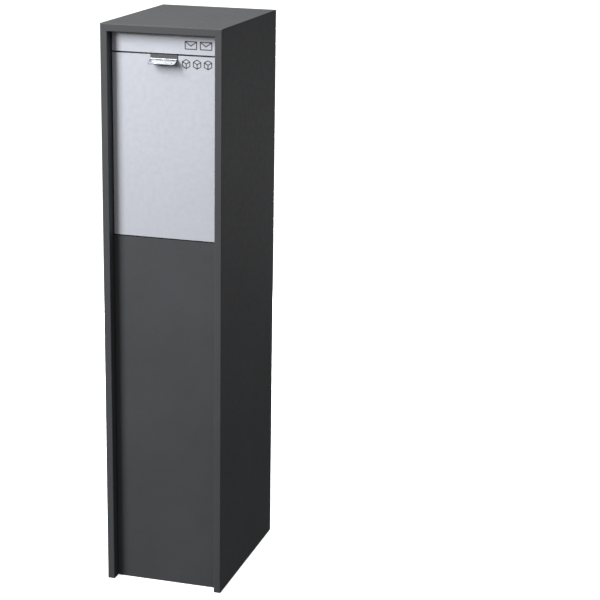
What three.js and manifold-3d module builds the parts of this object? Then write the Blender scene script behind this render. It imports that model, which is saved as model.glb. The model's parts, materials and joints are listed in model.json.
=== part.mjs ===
// Free-standing letter and parcel box in folded sheet steel.
// Millimetres. +X is to the right seen from the front, the front faces -Y, +Z is up.
// The origin is the middle of the casing's footprint, on the floor.

import * as THREE from 'three';
import { mergeVertices } from 'three/addons/utils/BufferGeometryUtils.js';
import Module from 'manifold-3d';

const wasm = await Module();
wasm.setup();

// ---------------------------------------------------------------- driving dimensions

const WIDTH = 300;
const DEPTH = 425;
const HEIGHT = 1400;
const SHEET = 1.5;              // sheet steel thickness
const BEND = 0.6;               // inside radius of every fold
const GAP = 0.3;                // between pieces that lie against each other

// casing: flanges round the front and rear openings
const FLANGE = 18;              // width of the side flanges
const HEAD = 19;                // height of the top flanges
const FRONT_JAMB = 50;          // how far the front side returns run inwards
const REAR_JAMB = 25;           // how far the rear returns run inwards
const FLAP_STOP_LIP = 3.5;      // the top panel's front lip, which the letter flap shuts against
const MITRE_GAP = 0.12;         // half the height of the gap in the mitred corners
const RECESS = 24;              // flaps and lower panel lie this far behind the front
const THROUGH = 5;              // half length of the tools that cut holes through sheet
const SAME_PLACE = 1e-4;        // vertices closer than this are one

// front, heights above the floor
const LOWER_PANEL_BOTTOM = 2;
const LOWER_PANEL_TOP = 890;
const PARCEL_BOTTOM = 893;
const PARCEL_TOP = 1330.5;
const LETTER_BOTTOM = 1334.5;
const LETTER_TOP = 1379.2;
const FLAP_SIDE_GAP = 1.5;

// parcel flap: a tipping hopper hinged at its foot
const PARCEL_DEPTH = 20;        // depth of the outer pan
const PARCEL_PIVOT_D = 30;      // pivot, behind the front plane
const PARCEL_PIVOT_Z = 899;
const PARCEL_PIN_R = 4;
const PARCEL_OPEN = 28;         // degrees from shut to the opening stops
const LINER_D = 44.3;
const LINER_BOTTOM = 905;
const LINER_TOP = 1327.2;
const LINER_LIP = 14;
const LINER_HALF = 124;
const CHEEK_R = 322;            // top edge of the cheeks, an arc about the pivot
const CHEEK_X = 127.2;          // inner face of the cheeks
const CHEEK_REAR_D = 118;
const CHEEK_FOOT_DROP = 2;      // foot of the cheeks, below the pivot
const CHEEK_FOOT_D = 70;        // where the foot begins to rise to the rear edge
const CHEEK_HEEL_Z = 940;       // foot of the vertical rear edge
const CHEEK_SLANT_Z = 956;      // the rear edge slants back above this height
const CHEEK_SLANT = 0.48;       // run per rise of the slanted rear edge
const NOSE_R = 334;             // stop nose at the rear end of the arc
const STOP_R = 329;             // opening stop stud, distance from the pivot
const STOP_D = 24.5;            // and how far it lies behind the pivot
const STUD_R = 4;
const STUD_CHAMFER = 0.8;
const PIVOT_TAB_T = 2.5;
const PIVOT_TAB_H = 30;

// letter flap, hinged at its head
const LETTER_DEPTH = 10;
const LETTER_AXLE_D = 29;
const LETTER_AXLE_Z = 1371.5;
const LETTER_AXLE_R = 2;
const BACKPLATE = 3;            // its weight shuts the flap

// pull handle
const HANDLE_W = 66;
const HANDLE_T = 1.6;
const HANDLE_TIP_D = 0.8;
const HANDLE_TIP_DROP = 18.2;   // the grip's front edge, below the flap's top edge
const HANDLE_WEB_D = 21.2;      // upright web, just in front of the flap
const HANDLE_KNEE_DROP = 9.6;   // where the grip turns up into the web
const HANDLE_KNEE_R = 3;
const HANDLE_SEAT_D = 42;
const HANDLE_CORNER = 6;
const HANDLE_SCREW_X = 22;
const HANDLE_SCREW_D = 34;
const HANDLE_SINK_R = 3.8;

// letter tray
const TRAY_FRONT_D = 50.3;
const TRAY_LIP_Z = 1322;
const TRAY_TOP_Z = 1333;
const RAMP_TOP_D = 56;
const RAMP_FOOT_D = 185;
const SHELF_Z = 1216;
const SHELF_REAR_D = 386;
const SHELF_LIP = 12;
const TRAY_UPSTAND = 15;
const BUFFER_X = 110;           // buffers that the parcel flap shuts against
const BUFFER_Z = 1327.5;
const BUFFER_R = 4;

// guard plate below the hopper
const GUARD_D = 110;
const GUARD_RETURN = 12;
const GUARD_BOTTOM = 576;
const GUARD_TOP = 922;
const GUARD_HALF = 128;
const BRACKET_BOTTOM = 866;
const BRACKET_TOP = 918;
const BRACKET_LEG_D = 98;
const BRACKET_LAP = 2;          // the bracket's lap starts this far behind the guard's face
const GUARD_BOLT_D = 107;
const GUARD_BOLT_Z = 884;

// rear: plinth, door and its stops
const PLINTH_TOP = 136;
const STOP_E = 25.5;            // door stops, in from the rear plane
const STOP_HALF = 108;          // half the clear width between the side stops
const STOP_LEG = 18;            // leg of the top stop, under the top panel
const STOP_TOP_Z = 1359;
const FLOOR_LIP_Z = 157;
const DOOR_E = 3.5;             // outer face of the door, in from the rear plane
const DOOR_T = 18;
const DOOR_HALF = 130;
const DOOR_BOTTOM = 137.5;
const DOOR_TOP = 1379.5;
const DOOR_LIP = 12;
const DOOR_BEND = 1;
const HINGE_X = 122;
const HINGE_E = 9;
const HINGE_PIN_R = 3;
const PIN_REACH = 9;            // the pins stand this far out of the door's ends
const PIN_BLOCK = [14, 11, 28]; // width, depth and height of the block that carries a pin
const STIFFENER_FOOT = 32;      // half widths of the top-hat stiffener, and its height
const STIFFENER_CROWN = 18;
const STIFFENER_H = 13.5;
const STIFFENER_END = 8;
const DOOR_BUFFER_Z = [1340, 200];
const DOOR_BUFFER_R = 5;

// cam lock
const LOCK_X = -96;
const LOCK_Z = 1293;
const ROSETTE_R = 18;
const BARREL_R = 9.5;
const PLUG_R = 7;
const ROSETTE_PROUD = 9.5;      // above the door's face
const CAM_E = 28.3;
const CAM_T = 3;
const CAM_REACH = 36;
const CAM_HALF = 9;
const SQUARE = 8;               // square drive between plug and cam
const BARREL_END_E = 25;
const NUT_R = 15;
const NUT_T = 6;
const KEYWAY = [1.8, 9, 6];     // width, height and depth

// base and floor
const BASE_T = 3;
const BASE_FLANGE = 30;
const BASE_FLANGE_END = 60;
const BASE_REAR_E = 1.8;
const PLATES_FRONT_D = 26;      // base plate and floor start this far behind the front
const ANCHOR_X = 105;
const ANCHOR_Y = 150;
const ANCHOR_R = 6.5;
const SUPPORT_LEG = 29;
const SUPPORT_TOP = 20;
const SUPPORT_FRONT_D = 70;
const SUPPORT_REAR_E = 60;
const FLOOR_SCREW_X = 139;
const FLOOR_SCREW_Y = 120;
const JAMB_CLEARANCE = 0.6;     // plates stay this far off the ends of the returns

// bought-in pieces
const RUNNING = 0.1;            // radial clearance of a running fit
const BUSH_FLANGE_T = 0.9;
const PARCEL_BUSH = { sleeve: 6, flange: 8.4, length: 5 };
const LETTER_BUSH = { sleeve: 4, flange: 5.6, length: 5 };
const DOOR_BUSH = { sleeve: 5, flange: 7, length: 6 };
const PANEL_SCREW = { shank: 2, head: 3.6, headH: 2.6, length: 6, recess: 1.8 };
const PANEL_SCREW_D = 40;
const PANEL_SCREW_Z = [220, 820];
const FLOOR_SCREW = { shank: 2.5, head: 4.6, headH: 3, length: 14, recess: 2.3 };
const CAM_SCREW = { shank: 2, head: 6.5, headH: 2.6, length: 10, recess: 2.2 };
const HANDLE_SCREW = { shank: 1.75, head: 3.2, length: 3, recess: 1.7 };
const GUARD_BOLT = { shank: 3, corner: 5.8, headH: 4.6, length: 5 };
const RECESS_DEPTH = 1.4;       // of the crosses in the screw heads
const RECESS_ARM = 0.3;         // half width of a cross's arms, as a share of their reach
const FINE = 40;                // segments round the lock
const PLAIN = 24;               // round bushes, pins and studs
const COARSE = 16;              // round screws

// ---------------------------------------------------------------- derived places

const X_OUT = WIDTH / 2;
const X_WALL = X_OUT - SHEET - GAP;         // what lies against a side wall ends here
const X_OPEN = X_OUT - FLANGE;              // half width of the front and rear openings
const X_PANEL = X_OPEN - GAP;
const X_FLAP = X_OPEN - FLAP_SIDE_GAP;
const Z_OPEN = HEIGHT - HEAD;
const Z_UNDER_TOP = HEIGHT - SHEET - GAP;
const Y_FRONT = -DEPTH / 2;
const Y_REAR = DEPTH / 2;
const back = (d) => Y_FRONT + d;            // depth behind the front plane to y
const inward = (e) => Y_REAR - e;           // depth in from the rear plane to y
const radians = THREE.MathUtils.degToRad;

// ---------------------------------------------------------------- shape helpers

// Rounds the corners of a closed outline; radius(index, convex) gives each corner's radius.
function roundedOutline(corners, radius, steps = 3) {
  const count = corners.length;
  let area = 0;
  for (let i = 0; i < count; i += 1) {
    const [ax, ay] = corners[i];
    const [bx, by] = corners[(i + 1) % count];
    area += ax * by - bx * ay;
  }
  const outline = [];
  for (let i = 0; i < count; i += 1) {
    const here = new THREE.Vector2(...corners[i]);
    const before = new THREE.Vector2(...corners[(i + count - 1) % count]).sub(here).normalize();
    const after = new THREE.Vector2(...corners[(i + 1) % count]).sub(here).normalize();
    const convex = after.cross(before) * area > 0;
    const r = radius(i, convex);
    if (r <= 0) {
      outline.push(here);
      continue;
    }
    const half = Math.acos(THREE.MathUtils.clamp(before.dot(after), -1, 1)) / 2;
    const middle = before.clone().add(after).normalize();
    const centre = here.clone().addScaledVector(middle, r / Math.sin(half));
    const from = here.clone().addScaledVector(before, r / Math.tan(half)).sub(centre);
    const to = here.clone().addScaledVector(after, r / Math.tan(half)).sub(centre);
    const start = from.angle();
    let turn = to.angle() - start;
    if (turn > Math.PI) turn -= 2 * Math.PI;
    if (turn < -Math.PI) turn += 2 * Math.PI;
    for (let k = 0; k <= steps; k += 1) {
      const a = start + (turn * k) / steps;
      outline.push(new THREE.Vector2(centre.x + r * Math.cos(a), centre.y + r * Math.sin(a)));
    }
  }
  return outline;
}

// Section of a folded sheet: face is its visible side, the metal lies to the right of it.
// bend is the inside radius of its folds, or a list with one for each point of the face, where 0
// leaves a corner square on both sides.
function sheetOutline(face, thickness = SHEET, bend = BEND, steps = 3) {
  const points = face.map((p) => new THREE.Vector2(...p));
  const normal = (a, b) => new THREE.Vector2(b.y - a.y, a.x - b.x).normalize();
  const hidden = points.map((p, i) => {
    const n1 = i > 0 ? normal(points[i - 1], p) : normal(p, points[i + 1]);
    const n2 = i < points.length - 1 ? normal(p, points[i + 1]) : n1;
    const mitre = n1.clone().add(n2).normalize();
    return p.clone().addScaledVector(mitre, thickness / mitre.dot(n1));
  });
  const corners = [...points, ...hidden.reverse()].map((p) => [p.x, p.y]);
  const last = points.length - 1;
  const ends = new Set([0, last, last + 1, corners.length - 1]);
  return roundedOutline(corners, (i, convex) => {
    const inside = Array.isArray(bend) ? bend[Math.min(i, corners.length - 1 - i)] : bend;
    if (ends.has(i) || inside === 0) return 0;
    return convex ? inside + thickness : inside;
  }, steps);
}

const asVectors = (outline) => outline.map((p) => (Array.isArray(p) ? new THREE.Vector2(...p) : p));

function extrude(outline, length, matrix) {
  const shape = new THREE.Shape(asVectors(outline));
  const geometry = new THREE.ExtrudeGeometry(shape, { depth: length, bevelEnabled: false });
  return geometry.applyMatrix4(matrix);
}

// outline in x, y
function alongZ(outline, z0, z1) {
  return solid(extrude(outline, z1 - z0, new THREE.Matrix4().makeTranslation(0, 0, z0)));
}

// outline in y, z
function alongX(outline, x0, x1) {
  const turn = new THREE.Matrix4().set(0, 0, 1, x0, 1, 0, 0, 0, 0, 1, 0, 0, 0, 0, 0, 1);
  return solid(extrude(outline, x1 - x0, turn));
}

// outline in x, z
function alongY(outline, y0, y1) {
  const turn = new THREE.Matrix4().set(0, 1, 0, 0, 0, 0, 1, y0, 1, 0, 0, 0, 0, 0, 0, 1);
  const swapped = asVectors(outline).map((p) => new THREE.Vector2(p.y, p.x));
  return solid(extrude(swapped, y1 - y0, turn));
}

function block(x0, x1, y0, y1, z0, z1) {
  const geometry = new THREE.BoxGeometry(x1 - x0, y1 - y0, z1 - z0);
  return solid(geometry.translate((x0 + x1) / 2, (y0 + y1) / 2, (z0 + z1) / 2));
}

const AXIS_TURN = {
  x: new THREE.Matrix4().makeRotationZ(-Math.PI / 2),
  y: new THREE.Matrix4(),
  z: new THREE.Matrix4().makeRotationX(Math.PI / 2),
};

// Turned piece: profile of [radius, height], height measured along the axis from centre.
function turned(profile, axis, centre, segments = PLAIN) {
  const geometry = new THREE.LatheGeometry(asVectors(profile), segments);
  geometry.applyMatrix4(AXIS_TURN[axis]);
  return solid(geometry.translate(...centre));
}

function rod(radius, from, to, axis, centre, segments = PLAIN) {
  return turned([[0, from], [radius, from], [radius, to], [0, to]], axis, centre, segments);
}

// Closed geometry to a solid: joins its vertices, drops collapsed triangles, faces them outwards.
function solid(geometry) {
  const bare = geometry.clone();
  bare.deleteAttribute('normal');
  bare.deleteAttribute('uv');
  const merged = mergeVertices(bare, SAME_PLACE);
  const index = merged.index.array;
  const outward = [];
  const inside = [];
  for (let i = 0; i < index.length; i += 3) {
    const [a, b, c] = [index[i], index[i + 1], index[i + 2]];
    if (a !== b && b !== c && c !== a) {
      outward.push(a, b, c);
      inside.push(a, c, b);
    }
  }
  const build = (triangles) => new wasm.Manifold(new wasm.Mesh({
    numProp: 3,
    vertProperties: new Float32Array(merged.attributes.position.array),
    triVerts: new Uint32Array(triangles),
  }));
  const result = build(outward);
  return result.volume() < 0 ? build(inside) : result;
}

// Tool for a clearance hole through sheet.
function hole(radius, axis, centre, segments = PLAIN) {
  return rod(radius + GAP, -THROUGH, THROUGH, axis, centre, segments);
}

const join = (...solids) => solids.reduce((a, b) => a.add(b));
const cut = (body, ...tools) => tools.reduce((a, b) => a.subtract(b), body);

// Mirrors a solid in the plane x = 0 for the other side of the box.
const mirrored = (body) => body.mirror([1, 0, 0]);

// ---------------------------------------------------------------- materials

const finish = (color, roughness, metalness) => ({ color, roughness, metalness });
const ANTHRACITE = finish(0x46474a, 0.6, 0.3);
const SILVER = finish(0xc4c7cf, 0.45, 0.4);
const ALUMINIUM = finish(0xd6d8dc, 0.3, 0.9);
const CHROME = finish(0xe2e3e6, 0.12, 1.0);
const ZINC = finish(0xa7a9a8, 0.35, 0.9);
const RUBBER = finish(0x1c1c1c, 0.9, 0.0);
const NYLON = finish(0x2a2a2b, 0.6, 0.0);

const box = new THREE.Group();

function piece(name, body, look) {
  const mesh = body.getMesh();
  const geometry = new THREE.BufferGeometry();
  geometry.setAttribute('position', new THREE.BufferAttribute(mesh.vertProperties, 3));
  geometry.setIndex(new THREE.BufferAttribute(mesh.triVerts, 1));
  geometry.computeVertexNormals();
  const node = new THREE.Mesh(geometry, new THREE.MeshStandardMaterial(look));
  node.name = name;
  box.add(node);
}

// The same piece on both sides; body is the one at +X.
function pair(name, body, look) {
  piece(`${name}_right`, body, look);
  piece(`${name}_left`, mirrored(body), look);
}

// A pan of folded sheet: a skin with a return all round its back, open behind.
function pan({ half, y, depth, z0, z1 }) {
  const rear = y + depth;
  const skin = alongZ(sheetOutline([[half, rear], [half, y], [-half, y], [-half, rear]]), z0, z1);
  const inner = half - SHEET / 2;
  return join(
    skin,
    block(-inner, inner, y + SHEET / 2, rear, z0, z0 + SHEET),
    block(-inner, inner, y + SHEET / 2, rear, z1 - SHEET, z1),
  );
}

// ---------------------------------------------------------------- casing

const mitreSlope = HEAD / FLANGE;
const mitreZ = (x) => Z_OPEN + (x - X_OPEN) * mitreSlope;
const ALL_Y = [Y_FRONT - 1, Y_REAR + 1];
const PANEL_SCREW_Y = back(PANEL_SCREW_D);

function sidePanel() {
  const section = sheetOutline([
    [X_OPEN, inward(REAR_JAMB)],
    [X_OPEN, Y_REAR],
    [X_OUT, Y_REAR],
    [X_OUT, Y_FRONT],
    [X_OPEN, Y_FRONT],
    [X_OPEN, back(FRONT_JAMB)],
  ]);
  const wall = alongZ(section, 0, Z_UNDER_TOP);
  const low = X_OPEN - 1;
  const high = X_OUT - 1;
  const aboveMitre = alongY([
    [low, mitreZ(low) - MITRE_GAP],
    [high, mitreZ(high) - MITRE_GAP],
    [low, mitreZ(high) - MITRE_GAP],
  ], ...ALL_Y);
  const jamb = [X_OPEN, back(PARCEL_PIVOT_D), PARCEL_PIVOT_Z];
  const axle = [X_OPEN, back(LETTER_AXLE_D), LETTER_AXLE_Z];
  const holes = [
    hole(PARCEL_BUSH.sleeve, 'x', jamb),
    hole(LETTER_BUSH.sleeve, 'x', axle),
    ...PANEL_SCREW_Z.map((z) => hole(PANEL_SCREW.shank, 'x', [X_OPEN, PANEL_SCREW_Y, z], COARSE)),
  ];
  return cut(wall, aboveMitre, ...holes);
}

function topPanel() {
  const lipD = RECESS + LETTER_DEPTH + GAP;
  const section = sheetOutline([
    [back(lipD), Z_OPEN - FLAP_STOP_LIP],
    [back(lipD), Z_OPEN],
    [Y_FRONT, Z_OPEN],
    [Y_FRONT, HEIGHT],
    [Y_REAR, HEIGHT],
    [Y_REAR, Z_OPEN],
    [inward(REAR_JAMB), Z_OPEN],
  ]);
  const cover = alongX(section, -X_OUT, X_OUT);
  const seatX = X_OPEN + (Z_UNDER_TOP - Z_OPEN - MITRE_GAP) / mitreSlope;
  const belowMitre = alongY([
    [X_PANEL, Z_OPEN - HEAD],
    [X_PANEL, mitreZ(X_PANEL) + MITRE_GAP],
    [seatX, Z_UNDER_TOP],
    [X_OUT + 1, Z_UNDER_TOP],
    [X_OUT + 1, Z_OPEN - HEAD],
  ], ...ALL_Y);
  const hinge = hole(DOOR_BUSH.sleeve, 'z', [HINGE_X, inward(HINGE_E), Z_OPEN]);
  return cut(cover, belowMitre, mirrored(belowMitre), hinge);
}

pair('side_panel', sidePanel(), ANTHRACITE);
piece('top_panel', topPanel(), ANTHRACITE);

// Floor plan of a plate that fits between the side walls, notched round the four jambs.
function notchedPlan(front, rear) {
  const narrow = X_PANEL - SHEET - GAP - RUNNING;
  const frontNotch = back(FRONT_JAMB + JAMB_CLEARANCE);
  const rearNotch = inward(REAR_JAMB + JAMB_CLEARANCE);
  const right = [[narrow, front], [narrow, frontNotch], [X_WALL, frontNotch], [X_WALL, rearNotch]];
  if (rear > rearNotch) right.push([narrow, rearNotch], [narrow, rear]);
  else right[right.length - 1] = [X_WALL, rear];
  return [...right, ...right.map(([x, y]) => [-x, y]).reverse()];
}

function basePlate() {
  const plate = alongZ(notchedPlan(back(PLATES_FRONT_D), inward(BASE_REAR_E)), 0, BASE_T);
  const ends = [back(BASE_FLANGE_END), inward(BASE_FLANGE_END)];
  const flange = block(X_WALL - SHEET, X_WALL, ...ends, 0, BASE_FLANGE);
  const anchors = [];
  for (const x of [-ANCHOR_X, ANCHOR_X]) {
    for (const y of [-ANCHOR_Y, ANCHOR_Y]) {
      anchors.push(rod(ANCHOR_R, -THROUGH, THROUGH, 'z', [x, y, 0]));
    }
  }
  return cut(join(plate, flange, mirrored(flange)), ...anchors);
}

piece('base_plate', basePlate(), ZINC);

// ---------------------------------------------------------------- front lower panel

function frontLowerPanel() {
  const rear = back(FRONT_JAMB);
  const face = back(RECESS);
  const section = sheetOutline([[X_PANEL, rear], [X_PANEL, face], [-X_PANEL, face], [-X_PANEL, rear]]);
  const shell = alongZ(section, LOWER_PANEL_BOTTOM, LOWER_PANEL_TOP);
  const inner = X_PANEL - SHEET / 2;
  const top = block(-inner, inner, face + SHEET / 2, face + PARCEL_DEPTH,
    LOWER_PANEL_TOP - SHEET, LOWER_PANEL_TOP);
  const holes = PANEL_SCREW_Z.map((z) => (
    rod(PANEL_SCREW.shank + GAP, -X_OUT, X_OUT, 'x', [0, PANEL_SCREW_Y, z], COARSE)
  ));
  return cut(join(shell, top), ...holes);
}

// Cross cut into a screw's face at centre, depth deep; toward is 1 or -1, the way it runs.
function crossRecess(axis, centre, reach, toward, depth = RECESS_DEPTH) {
  const along = 'xyz'.indexOf(axis);
  const ends = [centre[along] - toward * GAP, centre[along] + toward * depth].sort((a, b) => a - b);
  const arms = [0, 1, 2].filter((k) => k !== along).map((long) => {
    const spans = centre.map((middle, k) => {
      if (k === along) return ends;
      const half = k === long ? reach : reach * RECESS_ARM;
      return [middle - half, middle + half];
    });
    return block(...spans.flat());
  });
  return join(...arms);
}

// Pan-head screw with its head's underside at seat; toward is 1 or -1, the way its shank runs.
function panHeadScrew(screw, axis, seat, toward) {
  const { shank, head, headH, length, recess } = screw;
  const profile = [
    [0, -headH],
    [head * 0.6, -headH],
    [head, -headH * 0.55],
    [head, 0],
    [shank, 0],
    [shank, length],
    [0, length],
  ].map(([r, h]) => [r, toward * h]);
  const face = [...seat];
  face['xyz'.indexOf(axis)] -= toward * headH;
  return cut(turned(profile, axis, seat, COARSE), crossRecess(axis, face, recess, toward));
}

function lowerPanelScrew(z) {
  return panHeadScrew(PANEL_SCREW, 'x', [X_PANEL - SHEET - GAP, PANEL_SCREW_Y, z], 1);
}

piece('front_lower_panel', frontLowerPanel(), ANTHRACITE);
pair('lower_panel_screw_bottom', lowerPanelScrew(PANEL_SCREW_Z[0]), ZINC);
pair('lower_panel_screw_top', lowerPanelScrew(PANEL_SCREW_Z[1]), ZINC);

// ---------------------------------------------------------------- plinth, floor and supports

function rearPlinth() {
  const sillEnd = STOP_E - GAP;
  const front = inward(REAR_JAMB);
  const section = sheetOutline([
    [-X_PANEL, front],
    [-X_PANEL, Y_REAR],
    [X_PANEL, Y_REAR],
    [X_PANEL, front],
  ]);
  const shell = alongZ(section, 0, PLINTH_TOP);
  const inner = X_PANEL - SHEET / 2;
  const sill = block(-inner, inner, inward(sillEnd), Y_REAR - SHEET / 2, PLINTH_TOP - SHEET, PLINTH_TOP);
  const hinge = hole(DOOR_BUSH.sleeve, 'z', [HINGE_X, inward(HINGE_E), PLINTH_TOP]);
  return cut(join(shell, sill), hinge);
}

function compartmentFloor() {
  const rear = inward(STOP_E);
  const plate = alongZ(notchedPlan(back(PLATES_FRONT_D), rear), PLINTH_TOP - SHEET, PLINTH_TOP);
  const lipHalf = STOP_HALF - GAP;
  const lip = block(-lipHalf, lipHalf, rear - SHEET, rear, PLINTH_TOP - SHEET, FLOOR_LIP_Z);
  const holes = [];
  for (const x of [-FLOOR_SCREW_X, FLOOR_SCREW_X]) {
    for (const y of [-FLOOR_SCREW_Y, FLOOR_SCREW_Y]) {
      holes.push(hole(FLOOR_SCREW.shank, 'z', [x, y, PLINTH_TOP], COARSE));
    }
  }
  return cut(join(plate, lip), ...holes);
}

function floorSupport() {
  const top = PLINTH_TOP - SHEET - GAP;
  const section = sheetOutline([
    [X_WALL - SUPPORT_TOP, top],
    [X_WALL, top],
    [X_WALL, top - SUPPORT_LEG],
  ]);
  const angle = alongY(section, back(SUPPORT_FRONT_D), inward(SUPPORT_REAR_E));
  const holes = [-FLOOR_SCREW_Y, FLOOR_SCREW_Y].map((y) => (
    hole(FLOOR_SCREW.shank, 'z', [FLOOR_SCREW_X, y, top], COARSE)
  ));
  return cut(angle, ...holes);
}

function floorScrew(y) {
  return panHeadScrew(FLOOR_SCREW, 'z', [FLOOR_SCREW_X, y, PLINTH_TOP + GAP], -1);
}

piece('rear_plinth_panel', rearPlinth(), ANTHRACITE);
piece('compartment_floor', compartmentFloor(), ANTHRACITE);
pair('floor_support', floorSupport(), ANTHRACITE);
pair('floor_screw_front', floorScrew(-FLOOR_SCREW_Y), ZINC);
pair('floor_screw_rear', floorScrew(FLOOR_SCREW_Y), ZINC);

// ---------------------------------------------------------------- door stops

// Flat strip, welded to the wall and to the edge of the rear return.
function sideStop() {
  return block(STOP_HALF, X_WALL, inward(STOP_E + SHEET), inward(STOP_E), PLINTH_TOP + GAP, Z_UNDER_TOP);
}

function topStop() {
  const half = STOP_HALF - GAP;
  const section = sheetOutline([
    [inward(STOP_E + STOP_LEG), Z_UNDER_TOP],
    [inward(STOP_E), Z_UNDER_TOP],
    [inward(STOP_E), STOP_TOP_Z],
  ]);
  return alongX(section, -half, half);
}

pair('door_stop', sideStop(), ANTHRACITE);
piece('door_stop_top', topStop(), ANTHRACITE);

// ---------------------------------------------------------------- letter tray and guard plate

function letterTray() {
  const section = sheetOutline([
    [back(TRAY_FRONT_D), TRAY_LIP_Z],
    [back(TRAY_FRONT_D), TRAY_TOP_Z],
    [back(RAMP_TOP_D), TRAY_TOP_Z],
    [back(RAMP_FOOT_D), SHELF_Z],
    [back(SHELF_REAR_D), SHELF_Z],
    [back(SHELF_REAR_D), SHELF_Z - SHELF_LIP],
  ]);
  const tray = alongX(section, -X_WALL, X_WALL);
  const upstand = block(X_WALL - SHEET, X_WALL, back(RAMP_FOOT_D), back(SHELF_REAR_D - 1),
    SHELF_Z - SHEET / 2, SHELF_Z + TRAY_UPSTAND);
  return join(tray, upstand, mirrored(upstand));
}

function guardPlate() {
  const face = back(GUARD_D);
  const rear = back(GUARD_D + GUARD_RETURN);
  const section = sheetOutline([
    [GUARD_HALF, rear],
    [GUARD_HALF, face],
    [-GUARD_HALF, face],
    [-GUARD_HALF, rear],
  ]);
  return alongZ(section, GUARD_BOTTOM, GUARD_TOP);
}

function guardBracket() {
  const rear = back(GUARD_D + GUARD_RETURN);
  const section = sheetOutline([
    [GUARD_HALF + GAP, back(GUARD_D + BRACKET_LAP)],
    [GUARD_HALF + GAP, rear],
    [X_WALL, rear],
    [X_WALL, back(BRACKET_LEG_D)],
  ]);
  const plate = alongZ(section, BRACKET_BOTTOM, BRACKET_TOP);
  return cut(plate, hole(GUARD_BOLT.shank, 'x', [X_WALL, back(GUARD_BOLT_D), GUARD_BOLT_Z], COARSE));
}

function guardBolt() {
  const { shank, corner, headH, length } = GUARD_BOLT;
  const centre = [X_WALL, back(GUARD_BOLT_D), GUARD_BOLT_Z];
  const seat = -SHEET - GAP;
  const head = turned([
    [0, seat - headH],
    [corner - 1, seat - headH],
    [corner, seat - headH + 0.8],
    [corner, seat],
    [0, seat],
  ], 'x', centre, 6);
  return join(rod(shank, -length, 0, 'x', centre, COARSE), head);
}

piece('letter_tray', letterTray(), ANTHRACITE);
piece('guard_plate', guardPlate(), ANTHRACITE);
pair('guard_bracket', guardBracket(), ANTHRACITE);
pair('guard_bolt', guardBolt(), ZINC);

// ---------------------------------------------------------------- stops, buffers and bushes

const stopAngle = Math.acos(STOP_D / STOP_R);

function openingStop() {
  const centre = [0, back(PARCEL_PIVOT_D + STOP_D), PARCEL_PIVOT_Z + STOP_R * Math.sin(stopAngle)];
  return turned([
    [0, CHEEK_X - 2],
    [STUD_R - STUD_CHAMFER, CHEEK_X - 2],
    [STUD_R, CHEEK_X - 2 + STUD_CHAMFER],
    [STUD_R, X_WALL],
    [0, X_WALL],
  ], 'x', centre);
}

function flapBuffer() {
  const y0 = back(LINER_D + SHEET + GAP);
  const y1 = back(TRAY_FRONT_D - GAP);
  const rim = BUFFER_R - 0.6;
  return turned([[0, y0], [rim, y0], [BUFFER_R, y0 + 0.6], [BUFFER_R, y1], [0, y1]],
    'y', [BUFFER_X, 0, BUFFER_Z]);
}

// Flanged bush: the flange lies between the moving piece and the sheet, the sleeve in its hole.
function bushProfile({ sleeve, flange, length }, pin, faceAt, toward = 1) {
  const bore = pin + RUNNING;
  return [
    [bore, 0],
    [flange, 0],
    [flange, BUSH_FLANGE_T],
    [sleeve, BUSH_FLANGE_T],
    [sleeve, length],
    [bore, length],
    [bore, 0],
  ].map(([r, h]) => [r, faceAt + toward * h]);
}

function flapBush(bush, pin, d, z) {
  return turned(bushProfile(bush, pin, X_FLAP + GAP), 'x', [0, back(d), z]);
}

function doorBush(z, up) {
  return turned(bushProfile(DOOR_BUSH, HINGE_PIN_R, z, up), 'z', [HINGE_X, inward(HINGE_E), 0]);
}

pair('opening_stop', openingStop(), ZINC);
pair('flap_buffer', flapBuffer(), RUBBER);
pair('letter_flap_bush', flapBush(LETTER_BUSH, LETTER_AXLE_R, LETTER_AXLE_D, LETTER_AXLE_Z), NYLON);
pair('parcel_flap_bush', flapBush(PARCEL_BUSH, PARCEL_PIN_R, PARCEL_PIVOT_D, PARCEL_PIVOT_Z), NYLON);
piece('door_bush_top', doorBush(DOOR_TOP + GAP, 1), NYLON);
piece('door_bush_bottom', doorBush(DOOR_BOTTOM - GAP, -1), NYLON);

// ---------------------------------------------------------------- rear door

const DOOR_FACE = inward(DOOR_E);
const DOOR_BACK = inward(DOOR_E + DOOR_T);
const HINGE_Y = inward(HINGE_E);

function doorPan() {
  const section = sheetOutline([
    [DOOR_LIP - DOOR_HALF, DOOR_BACK],
    [-DOOR_HALF, DOOR_BACK],
    [-DOOR_HALF, DOOR_FACE],
    [DOOR_HALF, DOOR_FACE],
    [DOOR_HALF, DOOR_BACK],
    [DOOR_HALF - DOOR_LIP, DOOR_BACK],
  ], SHEET, DOOR_BEND);
  const shell = alongZ(section, DOOR_BOTTOM, DOOR_TOP);
  const inner = DOOR_HALF - SHEET / 2;
  const ends = [[DOOR_BOTTOM, DOOR_BOTTOM + SHEET], [DOOR_TOP - SHEET, DOOR_TOP]].map(([z0, z1]) => (
    block(-inner, inner, DOOR_BACK + 1, DOOR_FACE - SHEET / 2, z0, z1)
  ));
  const pins = rod(HINGE_PIN_R + GAP, 0, HEIGHT, 'z', [HINGE_X, HINGE_Y, 0]);
  const lock = hole(BARREL_R, 'y', [LOCK_X, DOOR_FACE, LOCK_Z]);
  return cut(join(shell, ...ends), pins, lock);
}

function doorStiffener() {
  const foot = DOOR_FACE - SHEET - GAP;
  const crown = foot - STIFFENER_H;
  const section = sheetOutline([
    [-STIFFENER_FOOT, foot],
    [-STIFFENER_CROWN, foot],
    [-STIFFENER_CROWN, crown],
    [STIFFENER_CROWN, crown],
    [STIFFENER_CROWN, foot],
    [STIFFENER_FOOT, foot],
  ]);
  return alongZ(section, DOOR_BOTTOM + STIFFENER_END, DOOR_TOP - STIFFENER_END);
}

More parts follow.
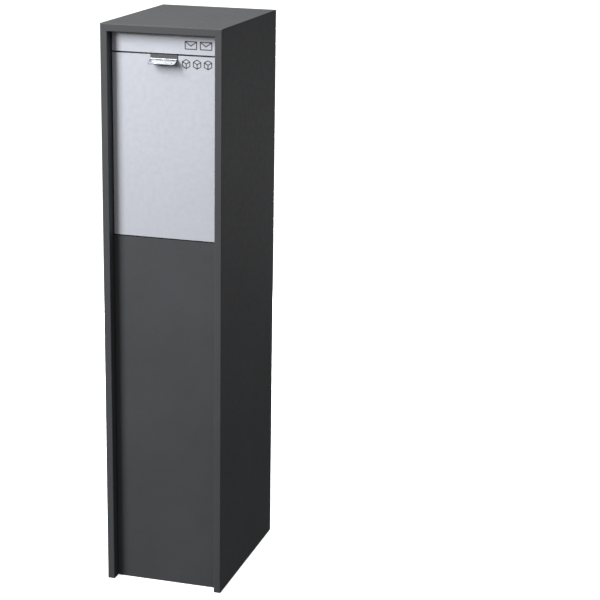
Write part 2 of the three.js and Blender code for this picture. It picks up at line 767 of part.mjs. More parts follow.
// Hinge pin with the block that is welded into the door's corner; up is 1 at the top, -1 below.
function doorPin(end, up) {
  const [width, depth, height] = PIN_BLOCK;
  const seat = end - up * (SHEET + GAP);
  const far = end - up * height;
  const tip = end + up * PIN_REACH;
  const pin = turned([
    [0, far + up],
    [HINGE_PIN_R, far + up],
    [HINGE_PIN_R, tip - up],
    [HINGE_PIN_R - 1, tip],
    [0, tip],
  ], 'z', [HINGE_X, HINGE_Y, 0]);
  const clearOfFold = SHEET + DOOR_BEND / 2 + GAP;
  const y1 = DOOR_FACE - clearOfFold;
  const x1 = DOOR_HALF - clearOfFold;
  const body = block(x1 - width, x1, y1 - depth, y1, Math.min(seat, far), Math.max(seat, far));
  return join(pin, body);
}

function doorBuffer(z) {
  const y0 = inward(STOP_E - GAP);
  const y1 = DOOR_BACK - GAP;
  const rim = DOOR_BUFFER_R - 1;
  return turned([[0, y0], [rim, y0], [DOOR_BUFFER_R, y0 + 1], [DOOR_BUFFER_R, y1], [0, y1]],
    'y', [DOOR_LIP / 2 - DOOR_HALF, 0, z]);
}

piece('door_pan', doorPan(), ANTHRACITE);
piece('door_stiffener', doorStiffener(), ANTHRACITE);
piece('door_pin_top', doorPin(DOOR_TOP, 1), ZINC);
piece('door_pin_bottom', doorPin(DOOR_BOTTOM, -1), ZINC);
piece('door_buffer_top', doorBuffer(DOOR_BUFFER_Z[0]), RUBBER);
piece('door_buffer_bottom', doorBuffer(DOOR_BUFFER_Z[1]), RUBBER);

// ---------------------------------------------------------------- cam lock

const LOCK_AXIS = [LOCK_X, 0, LOCK_Z];
const ROSETTE_BASE = DOOR_FACE + GAP;
const ROSETTE_FACE = DOOR_FACE + ROSETTE_PROUD;
const CAM_FACE = inward(CAM_E);
const CAM_BACK = CAM_FACE - CAM_T;

function lockBarrel() {
  const bore = PLUG_R + RUNNING;
  const end = inward(BARREL_END_E);
  return turned([
    [bore, end],
    [BARREL_R, end],
    [BARREL_R, ROSETTE_BASE],
    [ROSETTE_R, ROSETTE_BASE],
    [ROSETTE_R, ROSETTE_BASE + 1.7],
    [ROSETTE_R - 0.8, ROSETTE_BASE + 2.5],
    [ROSETTE_R - 2.4, ROSETTE_BASE + 2.5],
    [ROSETTE_R - 2.4, ROSETTE_FACE - 3],
    [ROSETTE_R - 3.4, ROSETTE_FACE - 1.9],
    [ROSETTE_R - 5.4, ROSETTE_FACE - 1.9],
    [ROSETTE_R - 6.2, ROSETTE_FACE - 3.3],
    [ROSETTE_R - 7.4, ROSETTE_FACE - 3.3],
    [ROSETTE_R - 7.8, ROSETTE_FACE - 0.9],
    [ROSETTE_R - 8.6, ROSETTE_FACE],
    [bore, ROSETTE_FACE],
    [bore, end],
  ], 'y', LOCK_AXIS, FINE);
}

function lockNut() {
  const y1 = DOOR_FACE - SHEET - GAP;
  const y0 = y1 - NUT_T;
  const hex = turned([
    [0, y0],
    [NUT_R - 1, y0],
    [NUT_R, y0 + 0.8],
    [NUT_R, y1 - 0.8],
    [NUT_R - 1, y1],
    [0, y1],
  ], 'y', LOCK_AXIS, 6);
  return cut(hex, rod(BARREL_R + GAP, y0 - 1, y1 + 1, 'y', LOCK_AXIS));
}

// Upright prism centred on the lock's axis.
function lockPrism(halfX, halfZ, y0, y1) {
  return block(LOCK_X - halfX, LOCK_X + halfX, y0, y1, LOCK_Z - halfZ, LOCK_Z + halfZ);
}

function lockPlug() {
  const face = ROSETTE_FACE - 0.6;
  const shoulder = CAM_FACE + GAP;
  const body = turned([
    [0, shoulder],
    [PLUG_R, shoulder],
    [PLUG_R, face - 0.5],
    [PLUG_R - 0.5, face],
    [0, face],
  ], 'y', LOCK_AXIS, FINE);
  const drive = lockPrism(SQUARE / 2, SQUARE / 2, CAM_BACK + GAP, shoulder + 2);
  const [width, height, depth] = KEYWAY;
  const keyway = lockPrism(width / 2, height / 2, face - depth, face + 1);
  const tapEnd = CAM_BACK + CAM_SCREW.length + 1;
  const tap = rod(CAM_SCREW.shank + GAP, CAM_BACK - 1, tapEnd, 'y', LOCK_AXIS, COARSE);
  return cut(join(body, drive), keyway, tap);
}

function lockCam() {
  const outline = [];
  const steps = 12;
  for (let k = 0; k <= steps; k += 1) {
    const a = (Math.PI * k) / steps;
    outline.push([LOCK_X + CAM_HALF * Math.cos(a), LOCK_Z + CAM_HALF * Math.sin(a)]);
  }
  const tip = LOCK_Z - CAM_REACH;
  const chamfer = 4;
  outline.push([LOCK_X - CAM_HALF, tip + chamfer], [LOCK_X - CAM_HALF + chamfer, tip]);
  outline.push([LOCK_X + CAM_HALF - chamfer, tip], [LOCK_X + CAM_HALF, tip + chamfer]);
  const half = SQUARE / 2 + GAP;
  return cut(alongY(outline, CAM_BACK, CAM_FACE), lockPrism(half, half, CAM_BACK - 1, CAM_FACE + 1));
}

function camScrew() {
  return panHeadScrew(CAM_SCREW, 'y', [LOCK_X, CAM_BACK - GAP, LOCK_Z], 1);
}

piece('lock_barrel', lockBarrel(), CHROME);
piece('lock_nut', lockNut(), ZINC);
piece('lock_plug', lockPlug(), CHROME);
piece('lock_cam', lockCam(), ZINC);
piece('cam_screw', camScrew(), ZINC);

// ---------------------------------------------------------------- letter flap

function letterFlapPanel() {
  const shell = pan({
    half: X_FLAP, y: back(RECESS), depth: LETTER_DEPTH, z0: LETTER_BOTTOM, z1: LETTER_TOP,
  });
  const axle = [0, back(LETTER_AXLE_D), LETTER_AXLE_Z];
  return cut(shell, rod(LETTER_AXLE_R + GAP, -X_OUT, X_OUT, 'x', axle));
}

function letterFlapBackplate() {
  const half = X_FLAP - SHEET - 2 * GAP;
  const y1 = back(RECESS + LETTER_DEPTH) - RUNNING;
  const foot = LETTER_BOTTOM + SHEET + GAP;
  return block(-half, half, y1 - BACKPLATE, y1, foot, LETTER_AXLE_Z - LETTER_AXLE_R - 2);
}

function letterFlapAxle() {
  const end = X_OPEN + SHEET + 1;
  const chamfer = 0.6;
  return turned([
    [0, -end],
    [LETTER_AXLE_R - chamfer, -end],
    [LETTER_AXLE_R, chamfer - end],
    [LETTER_AXLE_R, end - chamfer],
    [LETTER_AXLE_R - chamfer, end],
    [0, end],
  ], 'x', [0, back(LETTER_AXLE_D), LETTER_AXLE_Z]);
}

piece('letter_flap_panel', letterFlapPanel(), SILVER);
piece('letter_flap_backplate', letterFlapBackplate(), ZINC);
piece('letter_flap_axle', letterFlapAxle(), ZINC);

// ---------------------------------------------------------------- parcel flap

const PIVOT = [0, back(PARCEL_PIVOT_D), PARCEL_PIVOT_Z];

const handleScrewAt = (x, z) => [x, back(HANDLE_SCREW_D), z];

function parcelFlapSkin() {
  const shell = pan({
    half: X_FLAP, y: back(RECESS), depth: PARCEL_DEPTH, z0: PARCEL_BOTTOM, z1: PARCEL_TOP,
  });
  const screws = [-HANDLE_SCREW_X, HANDLE_SCREW_X].map((x) => (
    hole(HANDLE_SCREW.shank, 'z', handleScrewAt(x, PARCEL_TOP), COARSE)
  ));
  return cut(shell, rod(PARCEL_PIN_R + GAP, -X_OUT, X_OUT, 'x', PIVOT), ...screws);
}

function parcelFlapLiner() {
  const rear = back(LINER_D + SHEET);
  const section = sheetOutline([
    [rear - LINER_LIP, LINER_TOP],
    [rear, LINER_TOP],
    [rear, LINER_BOTTOM],
  ]);
  return alongX(section, -LINER_HALF, LINER_HALF);
}

// Side cheek of the hopper, seen from the side in depth and height about the pivot.
function cheek() {
  const rearD = CHEEK_REAR_D - PARCEL_PIVOT_D;
  const along = (s) => [rearD + CHEEK_SLANT * s, CHEEK_SLANT_Z - PARCEL_PIVOT_Z + s];
  const slantTo = (radius) => {
    const [d0, z0] = along(0);
    const a = CHEEK_SLANT ** 2 + 1;
    const b = CHEEK_SLANT * d0 + z0;
    const c = d0 ** 2 + z0 ** 2 - radius ** 2;
    return along((-b + Math.sqrt(b * b - a * c)) / a);
  };
  const arc = (radius, from, to, steps) => Array.from({ length: steps + 1 }, (_, k) => {
    const angle = from + ((to - from) * k) / steps;
    return [radius * Math.cos(angle), radius * Math.sin(angle)];
  });
  const tip = slantTo(NOSE_R);
  const noseEnd = Math.atan2(tip[1], tip[0]);
  const contact = Math.asin((STUD_R + GAP + RUNNING) / STOP_R);
  const noseStart = stopAngle - contact - radians(PARCEL_OPEN);
  const frontD = RECESS + 2 * SHEET - PARCEL_PIVOT_D;
  const outline = [
    [frontD, -CHEEK_FOOT_DROP],
    [CHEEK_FOOT_D - PARCEL_PIVOT_D, -CHEEK_FOOT_DROP],
    [rearD, CHEEK_HEEL_Z - PARCEL_PIVOT_Z],
    along(0),
    ...arc(NOSE_R, noseEnd, noseStart, 3),
    ...arc(CHEEK_R, noseStart, Math.acos(frontD / CHEEK_R), 16),
  ];
  const placed = outline.map(([d, z]) => [back(PARCEL_PIVOT_D + d), PARCEL_PIVOT_Z + z]);
  const plate = alongX(placed, CHEEK_X, CHEEK_X + SHEET);
  return cut(plate, rod(PARCEL_PIN_R + GAP, 0, X_OUT, 'x', PIVOT));
}

// Pivot pin with the tab that carries it on the inside of a cheek.
function flapPivot() {
  const tabX = CHEEK_X - GAP;
  const d0 = RECESS + SHEET + GAP;
  const z0 = PARCEL_BOTTOM + SHEET + GAP;
  const tab = block(tabX - PIVOT_TAB_T, tabX, back(d0), back(LINER_D - 1), z0, z0 + PIVOT_TAB_H);
  const end = X_OPEN + SHEET + 2;
  const chamfer = 0.8;
  const pin = turned([
    [0, tabX - 1],
    [PARCEL_PIN_R, tabX - 1],
    [PARCEL_PIN_R, end - chamfer],
    [PARCEL_PIN_R - chamfer, end],
    [0, end],
  ], 'x', PIVOT);
  return join(tab, pin);
}

function pullHandle() {
  const base = PARCEL_TOP + GAP;
  const seat = base + HANDLE_T;
  const half = HANDLE_W / 2;
  const section = sheetOutline([
    [back(HANDLE_TIP_D), PARCEL_TOP - HANDLE_TIP_DROP],
    [back(HANDLE_WEB_D), PARCEL_TOP - HANDLE_KNEE_DROP],
    [back(HANDLE_WEB_D), seat],
    [back(HANDLE_SEAT_D), seat],
  ], HANDLE_T, [0, HANDLE_KNEE_R, 0, 0], 6);
  const cornerY = back(HANDLE_TIP_D + HANDLE_CORNER);
  const low = PARCEL_TOP - 2 * HANDLE_TIP_DROP;
  const corner = cut(
    block(half - HANDLE_CORNER, half + 1, back(HANDLE_TIP_D - 1), cornerY, low, PARCEL_TOP),
    rod(HANDLE_CORNER, low - 1, PARCEL_TOP + 1, 'z', [half - HANDLE_CORNER, cornerY, 0], 2 * PLAIN),
  );
  const shank = HANDLE_SCREW.shank + GAP;
  const sinks = [-HANDLE_SCREW_X, HANDLE_SCREW_X].map((x) => turned([
    [0, -THROUGH],
    [shank, -THROUGH],
    [shank, RUNNING],
    [HANDLE_SINK_R, HANDLE_T + RUNNING],
    [HANDLE_SINK_R, THROUGH],
    [0, THROUGH],
  ], 'z', handleScrewAt(x, base)));
  return cut(alongX(section, -half, half), corner, mirrored(corner), ...sinks);
}

// Countersunk screw, just below the handle's seat.
function handleScrew() {
  const { shank, head, length, recess } = HANDLE_SCREW;
  const base = PARCEL_TOP + GAP;
  const top = HANDLE_T - RUNNING;
  const body = turned([
    [0, -length],
    [shank, -length],
    [shank, GAP],
    [head, top],
    [0, top],
  ], 'z', handleScrewAt(HANDLE_SCREW_X, base));
  const face = handleScrewAt(HANDLE_SCREW_X, base + top);
  return cut(body, crossRecess('z', face, recess, -1, RECESS_DEPTH / 2));
}

piece('parcel_flap_skin', parcelFlapSkin(), SILVER);
piece('parcel_flap_liner', parcelFlapLiner(), ANTHRACITE);
pair('flap_cheek', cheek(), ANTHRACITE);
pair('flap_pivot', flapPivot(), ZINC);
piece('pull_handle', pullHandle(), ALUMINIUM);
pair('handle_screw', handleScrew(), ZINC);

export default box;
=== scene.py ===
"""Looks for the letter and parcel box: finishes, softened edges, pictograms, studio and camera."""
import json
import math

import bpy
from mathutils import Matrix, Vector


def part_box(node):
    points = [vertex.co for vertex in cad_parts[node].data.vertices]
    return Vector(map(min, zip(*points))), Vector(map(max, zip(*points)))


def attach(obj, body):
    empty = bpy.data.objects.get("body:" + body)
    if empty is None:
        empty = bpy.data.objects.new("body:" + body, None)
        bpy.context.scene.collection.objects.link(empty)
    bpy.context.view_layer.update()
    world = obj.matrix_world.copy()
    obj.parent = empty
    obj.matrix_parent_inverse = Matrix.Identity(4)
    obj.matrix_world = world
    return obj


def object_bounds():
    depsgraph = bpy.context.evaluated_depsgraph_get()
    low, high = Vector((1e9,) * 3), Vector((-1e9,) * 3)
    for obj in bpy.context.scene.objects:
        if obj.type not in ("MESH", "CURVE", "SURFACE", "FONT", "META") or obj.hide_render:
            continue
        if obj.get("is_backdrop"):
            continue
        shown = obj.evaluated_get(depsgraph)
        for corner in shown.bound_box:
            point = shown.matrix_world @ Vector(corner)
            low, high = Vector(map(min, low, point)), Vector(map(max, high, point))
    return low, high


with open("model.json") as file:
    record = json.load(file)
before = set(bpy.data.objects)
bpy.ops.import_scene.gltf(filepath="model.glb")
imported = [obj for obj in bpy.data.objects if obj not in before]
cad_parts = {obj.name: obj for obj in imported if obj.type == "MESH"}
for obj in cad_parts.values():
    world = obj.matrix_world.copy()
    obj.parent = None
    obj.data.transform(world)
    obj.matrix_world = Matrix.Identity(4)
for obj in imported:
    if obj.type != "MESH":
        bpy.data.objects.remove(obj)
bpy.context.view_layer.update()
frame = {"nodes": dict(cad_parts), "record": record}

MM = 0.001
WELD_REACH = 0.005 * MM         # vertices closer than this are one
MIX_FIRST, MIX_SECOND, MIX_RESULT = 6, 7, 2   # a Mix node's sockets when it mixes colours

# ---------------------------------------------------------------- finishes

COOL = (0.95, 0.985, 1.06)      # tints: red, green and blue against a neutral grey
COOLER = (0.95, 0.985, 1.07)
CLEAN_METAL = (0.98, 1.0, 1.03)
WORN_METAL = (0.98, 1.0, 1.04)
COOL_BLACK = (0.98, 1.0, 1.04)
# tint of the painted shade on the handle's grip root and web
PAINTED_SHADE_TINT = (0.97, 1.0, 1.04)
INK = (0.97, 0.98, 1.06)

# Places along the handle's depth, as shares of it: 0 at the grip's tip, 1 at the seat's end. They lay
# out painted shade: the grip darkens from its tip to its root, and the web past the fold gets a painted
# mid tone.
GRIP_SHADE_START = 0.04
GRIP_SHADE_FULL = 0.42
FOLD_END = 0.482
WEB_START = 0.494


class Finish:
    """A Principled material whose detail is laid out in the piece's own coordinates."""

    def __init__(self, name, **sockets):
        self.material = bpy.data.materials.new(name)
        self.material.use_nodes = True
        self.tree = self.material.node_tree
        self.shader = self.tree.nodes["Principled BSDF"]
        for socket, value in sockets.items():
            self.shader.inputs[socket.replace("_", " ")].default_value = value
        self.place = self.node("ShaderNodeTexCoord").outputs["Object"]
        self.normal = None

    def node(self, kind, **settings):
        made = self.tree.nodes.new(kind)
        for name, value in settings.items():
            setattr(made, name, value)
        return made

    def link(self, source, target):
        self.tree.links.new(source, target)

    def feed(self, target, value):
        """Links a socket, or sets a plain value."""
        if isinstance(value, bpy.types.NodeSocket):
            self.link(value, target)
        else:
            target.default_value = value

    def scaled(self, stretch):
        mapping = self.node("ShaderNodeMapping")
        self.link(self.place, mapping.inputs["Vector"])
        mapping.inputs["Scale"].default_value = stretch
        return mapping.outputs["Vector"]

    def noise(self, scale, detail=2.0, rough=0.5, stretch=None):
        made = self.node("ShaderNodeTexNoise")
        self.link(self.scaled(stretch) if stretch else self.place, made.inputs["Vector"])
        made.inputs["Scale"].default_value = scale
        made.inputs["Detail"].default_value = detail
        made.inputs["Roughness"].default_value = rough
        return made.outputs["Fac"]

    def cells(self, scale, output="Distance"):
        made = self.node("ShaderNodeTexVoronoi")
        self.link(self.place, made.inputs["Vector"])
        made.inputs["Scale"].default_value = scale
        return made.outputs[output]

    def share(self, axis):
        """How far along an axis of the piece's own box a point lies, 0 to 1."""
        made = self.node("ShaderNodeSeparateXYZ")
        self.link(self.node("ShaderNodeTexCoord").outputs["Generated"], made.inputs[0])
        return made.outputs[axis]

    def spread(self, value, low, high, start=0.0, end=1.0):
        """Maps a value from start..end to low..high."""
        made = self.node("ShaderNodeMapRange")
        self.link(value, made.inputs["Value"])
        made.inputs["From Min"].default_value = start
        made.inputs["From Max"].default_value = end
        made.inputs["To Min"].default_value = low
        made.inputs["To Max"].default_value = high
        return made.outputs["Result"]

    def mix(self, factor, first, second):
        """Mixes two colours, each a tuple or a socket."""
        made = self.node("ShaderNodeMix", data_type="RGBA")
        self.feed(made.inputs["Factor"], factor)
        self.feed(made.inputs[MIX_FIRST], first)
        self.feed(made.inputs[MIX_SECOND], second)
        return made.outputs[MIX_RESULT]

    def colour(self, value):
        self.link(value, self.shader.inputs["Base Color"])

    def roughness(self, value):
        self.link(value, self.shader.inputs["Roughness"])

    def bump(self, height, depth, strength=1.0):
        """Adds relief of that depth in metres, on top of any relief already there."""
        made = self.node("ShaderNodeBump")
        self.link(height, made.inputs["Height"])
        made.inputs["Distance"].default_value = depth
        made.inputs["Strength"].default_value = strength
        if self.normal is not None:
            self.link(self.normal, made.inputs["Normal"])
        self.normal = made.outputs["Normal"]
        self.link(self.normal, self.shader.inputs["Normal"])


def grey(level, tint=(1.0, 1.0, 1.0)):
    return (level * tint[0], level * tint[1], level * tint[2], 1.0)


def powder_coat():
    """Fine-textured anthracite powder coat: pebbled, slightly cloudy, with grains that catch light."""
    made = Finish("anthracite_powder_coat", Metallic=0.0, Specular_IOR_Level=0.42)
    clouds = made.noise(4.5, 3.0, 0.55)
    grains = made.noise(1500.0, 2.0, 0.6)
    base = made.mix(made.spread(clouds, 0.0, 1.0, 0.3, 0.7), grey(0.045, COOL), grey(0.054, COOL))
    made.colour(made.mix(made.spread(grains, 0.0, 0.55, 0.45, 0.75), base, grey(0.096, COOL)))
    made.roughness(made.spread(made.noise(60.0, 3.0), 0.50, 0.57, 0.3, 0.7))
    made.bump(made.noise(420.0, 2.0, 0.5), 0.00012, 0.55)
    made.bump(grains, 0.00005, 0.5)
    return made.material


def silver_paint():
    """Satin silver-grey paint: fine metallic flake under a faint orange peel."""
    coat = {"Coat_Weight": 0.15, "Coat_Roughness": 0.3}
    made = Finish("silver_paint", Metallic=0.25, Specular_IOR_Level=0.5, **coat)
    flake = made.cells(2600.0, "Color")
    clouds = made.noise(3.0, 2.0, 0.5)
    base = made.mix(made.spread(clouds, 0.0, 1.0, 0.3, 0.7), grey(0.55, COOLER), grey(0.58, COOLER))
    bright = made.node("ShaderNodeSeparateColor")
    made.link(flake, bright.inputs["Color"])
    made.colour(made.mix(made.spread(bright.outputs["Red"], 0.0, 0.22), base, grey(0.72, COOLER)))
    made.roughness(made.spread(made.noise(90.0, 2.0), 0.36, 0.46, 0.3, 0.7))
    made.bump(made.noise(260.0, 1.0, 0.4), 0.00006, 0.35)
    return made.material


def brushed_aluminium():
    """Anodised aluminium with a lengthways grain. Painted shade: the handle's grip darkens towards its
    root and its web gets a mid tone, standing in for reflections.
    """
    made = Finish("brushed_aluminium", Metallic=1.0, Anisotropic=0.3)
    grain = made.noise(900.0, 4.0, 0.65, (0.02, 1.0, 1.0))
    broad = made.noise(40.0, 2.0, 0.5, (0.15, 1.0, 1.0))
    patches = made.spread(broad, 0.0, 1.0, 0.3, 0.7)
    base = made.mix(patches, grey(0.62, CLEAN_METAL), grey(0.70, CLEAN_METAL))
    bright = made.mix(made.spread(grain, 0.0, 0.35, 0.35, 0.75), base, grey(0.52, WORN_METAL))
    # painted shade, laid out in the piece's own box: a darker grip root and a mid-toned web, in place
    # of reflections
    depth = made.share("Y")
    painted_root_shade = made.spread(depth, 0.0, 1.0, GRIP_SHADE_START, GRIP_SHADE_FULL)
    grip = made.mix(painted_root_shade, bright, grey(0.20, PAINTED_SHADE_TINT))
    painted_web_tone = made.spread(depth, 0.0, 1.0, FOLD_END, WEB_START)
    made.colour(made.mix(painted_web_tone, grip, grey(0.50, PAINTED_SHADE_TINT)))
    made.roughness(made.spread(grain, 0.26, 0.34, 0.3, 0.7))
    made.bump(grain, 0.000006, 0.35)
    return made.material


def chrome():
    """Polished chrome with a faint haze from handling."""
    made = Finish("chrome", Metallic=1.0)
    haze = made.noise(120.0, 4.0, 0.6)
    handled = made.spread(haze, 0.0, 1.0, 0.35, 0.7)
    made.colour(made.mix(handled, grey(0.80, (0.98, 1.0, 1.02)), grey(0.70, (1.0, 1.0, 0.99))))
    made.roughness(made.spread(haze, 0.07, 0.2, 0.35, 0.7))
    made.bump(made.noise(600.0, 2.0), 0.00001, 0.3)
    return made.material


def zinc():
    """Zinc plate with soft crystals of differing brightness."""
    made = Finish("zinc_steel", Metallic=0.9)
    crystals = made.cells(160.0, "Color")
    tone = made.node("ShaderNodeSeparateColor")
    made.link(crystals, tone.inputs["Color"])
    dark, pale = grey(0.40, (0.98, 1.0, 1.02)), grey(0.56, (1.0, 1.0, 0.98))
    made.colour(made.mix(tone.outputs["Red"], dark, pale))
    made.roughness(made.spread(tone.outputs["Green"], 0.3, 0.5))
    made.bump(made.noise(700.0, 3.0, 0.6), 0.00003, 0.5)
    return made.material


def rubber():
    """Black rubber with a little dust on it."""
    made = Finish("rubber", Metallic=0.0, Specular_IOR_Level=0.3)
    dust = made.noise(300.0, 4.0, 0.6)
    dusty = made.spread(dust, 0.0, 1.0, 0.4, 0.75)
    made.colour(made.mix(dusty, grey(0.012), grey(0.035, (1.03, 1.0, 0.96))))
    made.roughness(made.spread(dust, 0.75, 0.92, 0.3, 0.7))
    made.bump(made.noise(1200.0, 3.0), 0.00006, 0.5)
    return made.material


def nylon():
    """Black moulded nylon with a faint swirl."""
    made = Finish("nylon", Metallic=0.0, Specular_IOR_Level=0.45, Subsurface_Weight=0.02)
    swirl = made.noise(80.0, 3.0, 0.5)
    flow = made.spread(swirl, 0.0, 1.0, 0.35, 0.7)
    made.colour(made.mix(flow, grey(0.018, COOL_BLACK), grey(0.028)))
    made.roughness(made.spread(swirl, 0.42, 0.58, 0.3, 0.7))
    made.bump(made.noise(1500.0, 2.0), 0.00003, 0.5)
    return made.material


def printed_film():
    """Matt charcoal film: a soft grain and slightly uneven ink."""
    made = Finish("charcoal_film", Metallic=0.0, Specular_IOR_Level=0.35)
    ink = made.noise(220.0, 4.0, 0.6)
    made.colour(made.mix(made.spread(ink, 0.0, 1.0, 0.3, 0.75), grey(0.022, INK), grey(0.036, INK)))
    made.roughness(made.spread(ink, 0.5, 0.62, 0.3, 0.7))
    made.bump(made.noise(2200.0, 2.0), 0.00002, 0.4)
    return made.material


FINISHES = {
    "anthracite_powder_coat": powder_coat(),
    "silver_paint": silver_paint(),
    "brushed_aluminium": brushed_aluminium(),
    "chrome": chrome(),
    "zinc_steel": zinc(),
    "rubber": rubber(),
    "nylon": nylon(),
}

# ---------------------------------------------------------------- CAD pieces

EDGE = 0.35 * MM                # radius worn onto the edges of sheet and plate
EDGE_SHARE = 0.12               # and at most this share of a small piece's least side
EDGE_ANGLE = math.radians(38)   # folds are made of flatter steps than this

for part in frame["record"]["subparts"]:
    node = frame["nodes"][part["node"]]
    for place in node.material_slots:
        place.material = FINISHES[part["material_slot"]]
    low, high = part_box(part["node"])
    weld = node.modifiers.new("weld", "WELD")
    weld.merge_threshold = WELD_REACH
    soften = node.modifiers.new("edges", "BEVEL")
    soften.width = min(EDGE, EDGE_SHARE * min(high - low))
    soften.segments = 2
    soften.limit_method = "ANGLE"
    soften.angle_limit = EDGE_ANGLE
    soften.harden_normals = True
    shading = node.modifiers.new("shading", "WEIGHTED_NORMAL")
    shading.keep_sharp = True

# ---------------------------------------------------------------- pictograms on the flaps

FILM = 0.2 * MM
STROKE = 2.1                    # width of every line, mm
MARK_RIGHT = 118.0              # right edge of both rows of marks, mm from the middle
ENVELOPE = (30.0, 19.5)         # width and height, mm
ENVELOPE_GAP = 7.0
ENVELOPES = 2
CARTON_R = 10.6                 # from a carton's middle to its corners, mm
CARTON_GAP = 6.2
CARTONS = 3
MARK_BELOW_TOP = 18.0           # centre of the parcel marks, mm below the parcel flap's top edge
LETTER_DROP = 0.8               # centre of the letter marks, mm below the letter flap's middle
ENVELOPE_CORNER = 1.2           # radius of an envelope's outer corners
FOLD_SHARE = -0.08              # height of the flap's point over the envelope's middle, of its height
CORNER_STEPS = 4


def envelope(left, middle):
    """Outline and the two openings of an envelope seen from its flap side, as lists of points in mm."""
    width, height = ENVELOPE
    half, low, high = width / 2, -height / 2, height / 2
    fold = FOLD_SHARE * height
    slope = (high - STROKE / 2 - fold) / (half - STROKE / 2)
    rise = STROKE / 2 * math.hypot(1, slope)
    inner, top = half - STROKE, high - STROKE
    reach = (top - (fold + rise)) / slope
    shoulder = fold - rise + slope * inner
    corner = ENVELOPE_CORNER
    outline = []
    for sx, sz, start in ((1, 1, 0), (-1, 1, 90), (-1, -1, 180), (1, -1, 270)):
        for step in range(CORNER_STEPS + 1):
            turn = math.radians(start + 90 * step / CORNER_STEPS)
            x = sx * (half - corner) + corner * math.cos(turn)
            z = sz * (high - corner) + corner * math.sin(turn)
            outline.append((x, z))
    flap = [(-reach, top), (reach, top), (0, fold + rise)]
    foot = low + STROKE
    front = [(-inner, foot), (inner, foot), (inner, shoulder), (0, fold - rise), (-inner, shoulder)]
    centre = left + half
    return [[(centre + x, middle + z) for x, z in loop] for loop in (outline, flap, front)]


def carton(left, middle):
    """Outline and the three faces of a carton seen from a corner."""
    half = CARTON_R * math.cos(math.radians(30))
    centre = (left + half + STROKE / 2, middle)

    def corner(angle, radius=CARTON_R):
        turn = math.radians(angle)
        return (centre[0] + radius * math.cos(turn), centre[1] + radius * math.sin(turn))

    outline = [corner(angle, CARTON_R + STROKE / 2) for angle in (90, 30, -30, -90, -150, 150)]
    loops = [outline]
    inset = 1 - STROKE / (CARTON_R * math.sin(math.radians(60)))
    for first in (150, 30, -90):
        face = [centre, corner(first), corner(first - 60), corner(first - 120)]
        mid_x, mid_z = (sum(point[k] for point in face) / len(face) for k in (0, 1))
        loops.append([(mid_x + inset * (x - mid_x), mid_z + inset * (z - mid_z)) for x, z in face])
    return loops


def film(name, marks, face_y, body):
    """Cuts thin film to flat outlines (mm, x and z) and lays it on the flap's face."""
    flat = bpy.data.curves.new(name, "CURVE")
    flat.dimensions = "2D"
    flat.fill_mode = "BOTH"
    flat.extrude = FILM / 2
    for loop in marks:
        line = flat.splines.new("POLY")
        line.points.add(len(loop) - 1)
        line.use_cyclic_u = True
        for point, (x, z) in zip(line.points, loop):
            point.co = (x * MM, z * MM, 0, 1)
    pattern = bpy.data.objects.new(name + "_pattern", flat)
    bpy.context.scene.collection.objects.link(pattern)
    mesh = bpy.data.meshes.new_from_object(pattern.evaluated_get(bpy.context.evaluated_depsgraph_get()))
    bpy.data.objects.remove(pattern)
    upright = Matrix.Rotation(math.radians(90), 4, "X")
    mesh.transform(Matrix.Translation((0, face_y - FILM / 2, 0)) @ upright)
    mesh.materials.clear()
    mesh.materials.append(FILM_FINISH)
    piece = bpy.data.objects.new(name, mesh)
    bpy.context.scene.collection.objects.link(piece)
    weld = piece.modifiers.new("weld", "WELD")
    weld.merge_threshold = WELD_REACH
    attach(piece, body)


FILM_FINISH = printed_film()
letter_low, letter_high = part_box("letter_flap_panel")
parcel_low, parcel_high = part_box("parcel_flap_skin")

letter_middle = (letter_low.z + letter_high.z) / 2 / MM - LETTER_DROP
letter_marks = []
for index in range(ENVELOPES):
    left = MARK_RIGHT - ENVELOPE[0] - index * (ENVELOPE[0] + ENVELOPE_GAP)
    letter_marks += envelope(left, letter_middle)
film("letter_pictogram", letter_marks, letter_low.y, "letter_flap")

carton_width = 2 * CARTON_R * math.cos(math.radians(30)) + STROKE
parcel_middle = parcel_high.z / MM - MARK_BELOW_TOP
parcel_marks = []
for index in range(CARTONS):
    left = MARK_RIGHT - carton_width - index * (carton_width + CARTON_GAP)
    parcel_marks += carton(left, parcel_middle)
film("parcel_pictogram", parcel_marks, parcel_low.y, "parcel_flap")

# ---------------------------------------------------------------- studio

scene = bpy.context.scene
scene.view_settings.view_transform = "Standard"

FLOOR_RADIUS = 60.0
FLOOR_STEPS = 96
FLOOR_GLOW = 0.72
GROUND_END = 0.44               # up to here the world is at its dimmest: 0 straight down, 1 straight up
HORIZON = 0.52


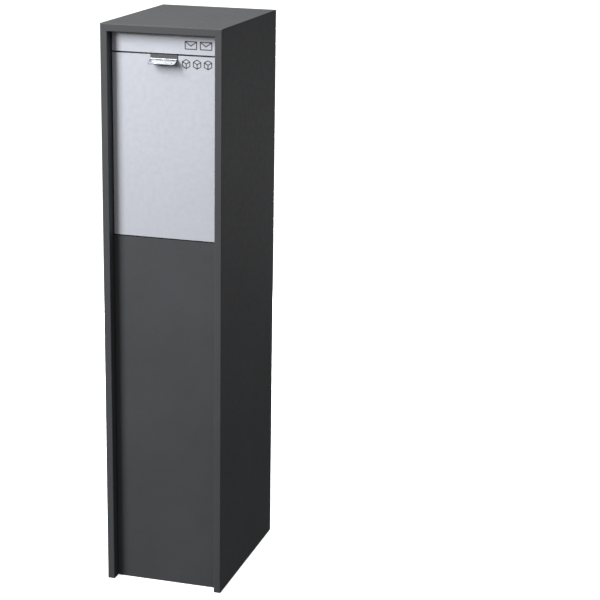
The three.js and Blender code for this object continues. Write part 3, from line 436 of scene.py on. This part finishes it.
def make_floor():
    """Pale floor. Only the camera sees it, so it throws no light back onto the dark sides."""
    turns = [math.tau * k / FLOOR_STEPS for k in range(FLOOR_STEPS)]
    ring = [(FLOOR_RADIUS * math.cos(turn), FLOOR_RADIUS * math.sin(turn), 0) for turn in turns]
    mesh = bpy.data.meshes.new("floor")
    mesh.from_pydata(ring, [], [list(range(FLOOR_STEPS))])
    floor = bpy.data.objects.new("floor", mesh)
    scene.collection.objects.link(floor)
    glow = {"Emission_Strength": FLOOR_GLOW, "Emission_Color": (1, 1, 1, 1)}
    paper = Finish("pale_floor", Specular_IOR_Level=0.0, **glow)
    paper.colour(paper.mix(paper.spread(paper.noise(2.0), 0.0, 1.0, 0.3, 0.7), grey(0.88), grey(0.90)))
    paper.shader.inputs["Roughness"].default_value = 0.95
    mesh.materials.append(paper.material)
    floor.visible_diffuse = False
    floor.visible_glossy = False
    floor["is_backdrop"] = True


def make_world(low, level, high):
    """Soft light from above, fading to a dim ground. To the camera it is plain white."""
    world = bpy.data.worlds.new("studio")
    scene.world = world
    world.use_nodes = True
    nodes, links = world.node_tree.nodes, world.node_tree.links
    direction = nodes.new("ShaderNodeTexCoord")
    parts = nodes.new("ShaderNodeSeparateXYZ")
    ramp = nodes.new("ShaderNodeValToRGB")
    links.new(direction.outputs["Generated"], parts.inputs[0])
    shift = nodes.new("ShaderNodeMapRange")
    shift.inputs["From Min"].default_value = -1
    links.new(parts.outputs["Z"], shift.inputs["Value"])
    links.new(shift.outputs["Result"], ramp.inputs["Fac"])
    stops = ramp.color_ramp.elements
    stops[0].position = GROUND_END
    stops[0].color = grey(low)
    stops[1].position = 1.0
    stops[1].color = grey(high)
    middle = stops.new(HORIZON)
    middle.color = grey(level)
    backdrop = nodes.new("ShaderNodeMix")
    backdrop.data_type = "RGBA"
    links.new(nodes.new("ShaderNodeLightPath").outputs["Is Camera Ray"], backdrop.inputs["Factor"])
    links.new(ramp.outputs["Color"], backdrop.inputs[MIX_FIRST])
    backdrop.inputs[MIX_SECOND].default_value = grey(1.0)
    links.new(backdrop.outputs[MIX_RESULT], nodes["Background"].inputs["Color"])


def area_light(name, watts, size, place, aim, tint=(1, 1, 1)):
    """A rectangular lamp at a place, turned to its aim; the camera doesn't see it."""
    lamp = bpy.data.lights.new(name, "AREA")
    lamp.shape = "RECTANGLE"
    lamp.size, lamp.size_y = size
    lamp.energy = watts
    lamp.color = tint
    holder = bpy.data.objects.new(name, lamp)
    holder.location = place
    holder.rotation_euler = (Vector(aim) - Vector(place)).to_track_quat("-Z", "Y").to_euler()
    holder.visible_camera = False
    scene.collection.objects.link(holder)


make_floor()
make_world(0.065, 0.225, 0.95)
area_light("key", 312, (1.7, 3.0), (-2.41, -2.88, 3.35), (0, 0, 1.7), (0.99, 0.99, 1.0))
area_light("top", 16, (1.4, 1.4), (0, 0.2, 3.4), (0, 0, 1.4))
area_light("rear", 100, (0.28, 1.25), (0, 2.6, 0.72), (0, 0, 0.72))
area_light("side", 1.6, (0.9, 0.8), (1.5, 3.2, 0.4), (0, 0, 0.5))

# ---------------------------------------------------------------- camera

LENS = 106.42                   # mm, on a sensor of the width below
SENSOR = 36
NEAR, FAR = 0.05, 200
YAW = math.radians(15.93)
PITCH = math.radians(15.79)
ROLL = math.radians(0.916)
EYE = (1.4423, -4.0585, 1.9088)

lens = bpy.data.cameras.new("camera")
lens.lens = LENS
lens.sensor_width = SENSOR
lens.clip_start = NEAR
lens.clip_end = FAR
camera = bpy.data.objects.new("camera", lens)
scene.collection.objects.link(camera)
level = math.cos(PITCH)
forward = Vector((-math.sin(YAW) * level, math.cos(YAW) * level, -math.sin(PITCH)))
right = forward.cross(Vector((0, 0, 1))).normalized()
up = right.cross(forward)
tilted = math.cos(ROLL) * right + math.sin(ROLL) * up
upright = tilted.cross(forward)
facing = Matrix((tilted, upright, -forward)).transposed()
camera.matrix_world = Matrix.Translation(EYE) @ facing.to_4x4()
scene.camera = camera

# ---------------------------------------------------------------- size

low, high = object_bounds()
